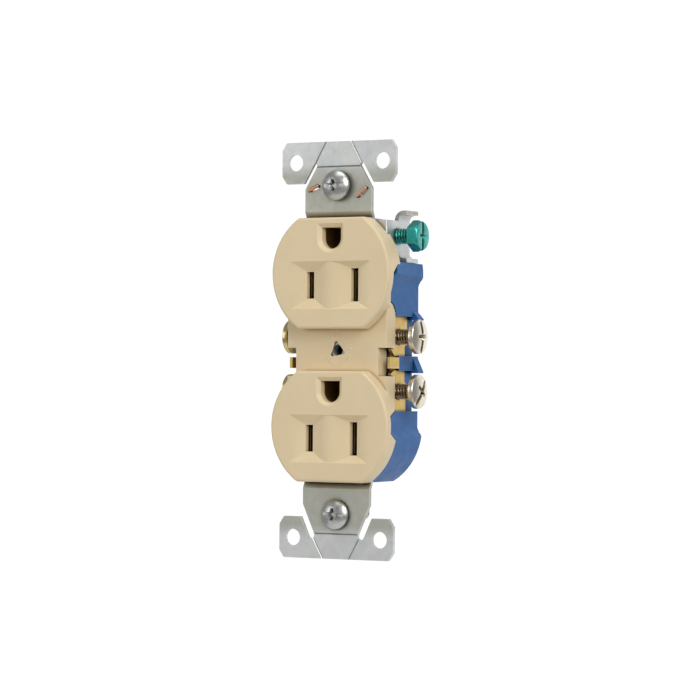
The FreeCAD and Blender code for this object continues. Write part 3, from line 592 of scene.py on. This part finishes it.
def hex_head(flats, height):
    """A hexagonal head with a turned-down crown, its seat at zero and a combination drive."""
    corner = flats / 2 / math.cos(math.radians(30))
    points = [(corner * math.cos(math.radians(a)), corner * math.sin(math.radians(a)))
              for a in range(0, 360, 60)]
    head = prism("head", points, 0, height)
    wide, narrow = corner + 0.02, corner - HEX_TOP_INSET
    profile = [(0, 0), (wide, 0), (wide, height - HEX_CROWN), (narrow, height), (0, height)]
    carve(head, lathe("crown", profile, 96), "INTERSECT")
    cut_drive(head, height, corner, HEX_DRIVE, HEX_CROSS_REACH)
    add_bevel(head, *HEX_EDGE)
    apply_modifiers(head)
    return head


def place(obj, node, direction, turn, seat):
    """Turn a screw built along +Z towards its direction and put its seat at this place along it."""
    low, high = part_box(node)
    centre = (low + high) / 2
    axis = Vector(direction)
    spot = Vector([seat if abs(d) > 0.5 else c for c, d in zip(centre, axis)])
    spin = Matrix.Rotation(math.radians(turn), 4, "Z")
    aim = axis.to_track_quat("Z", "Y").to_matrix().to_4x4()
    obj.data.transform(Matrix.Translation(spot) @ aim @ spin)


def screw(node, head, head_tall, shank, direction, turn, slot, material, neck=None):
    """One finished screw in place of its CAD node; shank and neck are a radius and a length."""
    low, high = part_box(node)
    axis = [i for i in range(3) if direction[i]][0]
    top = high[axis] if direction[axis] > 0 else low[axis]
    seat = top - direction[axis] * head_tall * MM
    shank_r, length = shank
    neck_r, neck_long = neck or shank
    start = NECK_START - neck_long if neck else SEAT_OVERLAP
    parts = [head, thread(f"{node}_thread", start, length + start, shank_r)]
    if neck:
        end = -neck_long - NECK_OVERLAP
        rod = [(0, SEAT_OVERLAP), (neck_r, SEAT_OVERLAP), (neck_r, end), (0, end)]
        parts.append(lathe(f"{node}_neck", rod))
    obj = join(f"{node}_finished", parts)
    place(obj, node, direction, turn, seat)
    smooth(obj, SCREW_SHARP_ANGLE)
    even_normals(obj)
    attach(obj, f"{node}_body", slot, material, node)


def terminal_screws():
    finish = {"neutral": ("nickel", NICKEL), "hot": ("brass_screw", BRASS_PLATE)}
    radius, rim, rise = TERMINAL_HEAD
    for side, sign in SIDES.items():
        slot, material = finish[side]
        for level in LEVELS:
            node = f"{side}_screw_{level}"
            head = pan_head(radius, rim, rise)
            screw(node, head, rim + rise, SIDE_SHANK, (sign, 0, 0), TERMINAL_TURN[node], slot, material)


def box_screws():
    radius, rim, rise = BOX_HEAD
    for level in LEVELS:
        neck = (BOX_NECK_R, BOX_NECK_LONG[level])
        screw(f"mounting_screw_{level}", pan_head(radius, rim, rise), rim + rise, BOX_SHANK,
              (0, -1, 0), BOX_TURN[level], "zinc_steel", ZINC, neck)


def ground_screw():
    flats, height = HEX_HEAD
    screw("ground_screw", hex_head(flats, height), height, SIDE_SHANK, (1, 0, 0), GROUND_TURN,
          "green_steel", GREEN)


# ---------------------------------------------------------------- housing, strap and brass

def saddle_ring():
    """A ring of plain raised dashes round the centre opening."""
    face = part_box("front_cover")[0].y / MM + SADDLE_DEPTH
    bm = bmesh.new()
    for i in range(RING_COUNT):
        angle = math.radians(RING_START + RING_SWEEP * i / (RING_COUNT - 1))
        out = Vector((math.sin(angle), 0, math.cos(angle)))
        along = Vector((out.z, 0, -out.x))
        size = DASH_LONG if i % 3 else DASH_SHORT
        ring = []
        for y, grow in ((face + DASH_SINK, 1.0), (face - DASH_TALL, DASH_TAPER)):
            middle = out * RING_R + Vector((0, y, 0))
            wide = along * DASH_HALF_WIDE * grow
            ring.append([bm.verts.new((middle + wide * a + out * b * size * grow) * MM)
                         for a, b in ((-1, -1), (1, -1), (1, 1), (-1, 1))])
        low, high = ring
        bm.faces.new(high)
        bm.faces.new(list(reversed(low)))
        for k in range(4):
            m = (k + 1) % 4
            bm.faces.new((low[k], low[m], high[m], high[k]))
    bmesh.ops.recalc_face_normals(bm, faces=bm.faces)
    attach(new_object("saddle_dashes", bm), HOUSING, "ivory_plastic", IVORY)


def housing():
    attach(softened("front_cover", COVER_EDGE), HOUSING, "ivory_plastic", IVORY, "front_cover")
    attach(softened("back_body", BODY_EDGE), HOUSING, "blue_plastic", BLUE, "back_body")
    strap = softened("mounting_strap", STRAP_EDGE)
    attach(strap, HOUSING, "galvanised_steel", GALVANISED, "mounting_strap")
    for side in SIDES:
        node = f"{side}_bus"
        attach(softened(node, BRASS_EDGE), HOUSING, "brass", BRASS, node)
    saddle_ring()


def small_parts():
    """The pieces whose CAD shape is already right take a finish only."""
    finishes = {"ground_contact": CONTACT, "ground_rivet": ZINC, "screw_retainer": FIBRE}
    for stem, material in finishes.items():
        for level in LEVELS:
            paint(f"{stem}_{level}", material)
    for side in SIDES:
        for level in LEVELS:
            paint(f"push_clip_{side}_{level}", SPRING)
    paint("self_ground_clip", COPPER)


def paint(node, material):
    """Give a CAD node this material in place of its own."""
    materials = frame["nodes"][node].data.materials
    materials.clear()
    materials.append(material)


# ---------------------------------------------------------------- stage

# The solved camera, with its distance in metres. Each light is a place, a size (both in metres)
# and a power in watts. The backdrop's strength follows the cosine of the angle from +Y. The
# floor is measured in heights of the outlet
CAMERA_AZIMUTH = math.radians(28.6)
CAMERA_ELEVATION = math.radians(-0.73)
CAMERA_ROLL = math.radians(0.47)
CAMERA_DISTANCE = 0.7276
LENS = 147.6
SENSOR = 36.0
SHIFT_X = 0.0185
LIGHTS = {
    "key": ((1.0, -0.75, 0.55), (0.7, 0.9), 8.8),
    "fill": ((-0.9, -0.9, 0.25), (0.8, 0.8), 2.5),
    "top": ((0.1, -0.3, 1.1), (0.9, 0.7), 3.6),
}
BACKDROP = {"From Min": 0.66, "From Max": 0.81, "To Min": 0.27, "To Max": 1.06}
FLOOR_DROP = 2.2
FLOOR_HALF = 3.3


def camera():
    """The camera at the solved place, looking at the origin with a slight roll."""
    data = bpy.data.cameras.new("camera")
    data.lens, data.sensor_width, data.shift_x = LENS, SENSOR, SHIFT_X
    data.clip_start = 0.01
    obj = bpy.data.objects.new("camera", data)
    bpy.context.scene.collection.objects.link(obj)
    back = Vector((math.sin(CAMERA_AZIMUTH) * math.cos(CAMERA_ELEVATION),
                   -math.cos(CAMERA_AZIMUTH) * math.cos(CAMERA_ELEVATION),
                   math.sin(CAMERA_ELEVATION)))
    obj.location = back * CAMERA_DISTANCE
    level = back.to_track_quat("Z", "Y")
    obj.rotation_mode = "QUATERNION"
    roll = Matrix.Rotation(CAMERA_ROLL, 4, "Z").to_quaternion()
    obj.rotation_quaternion = level @ roll
    bpy.context.scene.camera = obj


def area_light(name, place, size, power):
    """A rectangular light aimed at the origin."""
    data = bpy.data.lights.new(name, "AREA")
    data.shape = "RECTANGLE"
    data.size, data.size_y = size
    data.energy = power
    obj = bpy.data.objects.new(name, data)
    obj.location = place
    obj.rotation_mode = "QUATERNION"
    obj.rotation_quaternion = Vector(place).to_track_quat("Z", "Y")
    bpy.context.scene.collection.objects.link(obj)


def world():
    """A studio with a wide white backdrop behind the object and soft grey walls elsewhere."""
    scene_world = bpy.data.worlds.new("studio")
    scene_world.use_nodes = True
    bpy.context.scene.world = scene_world
    tree = scene_world.node_tree
    background = tree.nodes["Background"]
    direction = tree.nodes.new("ShaderNodeTexCoord").outputs["Generated"]
    dot = tree.nodes.new("ShaderNodeVectorMath")
    dot.operation = "DOT_PRODUCT"
    dot.inputs[1].default_value = (0.0, 1.0, 0.0)
    tree.links.new(direction, dot.inputs[0])
    spread = tree.nodes.new("ShaderNodeMapRange")
    for socket, value in BACKDROP.items():
        spread.inputs[socket].default_value = value
    tree.links.new(dot.outputs["Value"], spread.inputs["Value"])
    tree.links.new(spread.outputs["Result"], background.inputs["Strength"])
    background.inputs["Color"].default_value = (1, 1, 1, 1)


def stage():
    """The pale floor, the backdrop and the lights."""
    low, high = (Vector(corner) for corner in cad_bounds)
    size = high.z - low.z
    bm = bmesh.new()
    bmesh.ops.create_grid(bm, x_segments=8, y_segments=8, size=FLOOR_HALF * size)
    floor = new_object("floor", bm)
    floor.location.z = low.z - FLOOR_DROP * size
    s = Surface("pale_floor")
    s.colour(s.mixed(s.ranged(s.noise(60, 3), 0.0, 1.0), (0.90, 0.90, 0.90), (0.93, 0.93, 0.93)))
    s.roughness(s.ranged(s.noise(20, 3), 0.6, 0.75))
    floor.data.materials.append(s.material)
    world()
    for name, (place, size, power) in LIGHTS.items():
        area_light(name, place, size, power)
    bpy.context.scene.view_settings.view_transform = "Standard"


camera()
stage()
housing()
small_parts()
terminal_screws()
box_screws()
ground_screw()
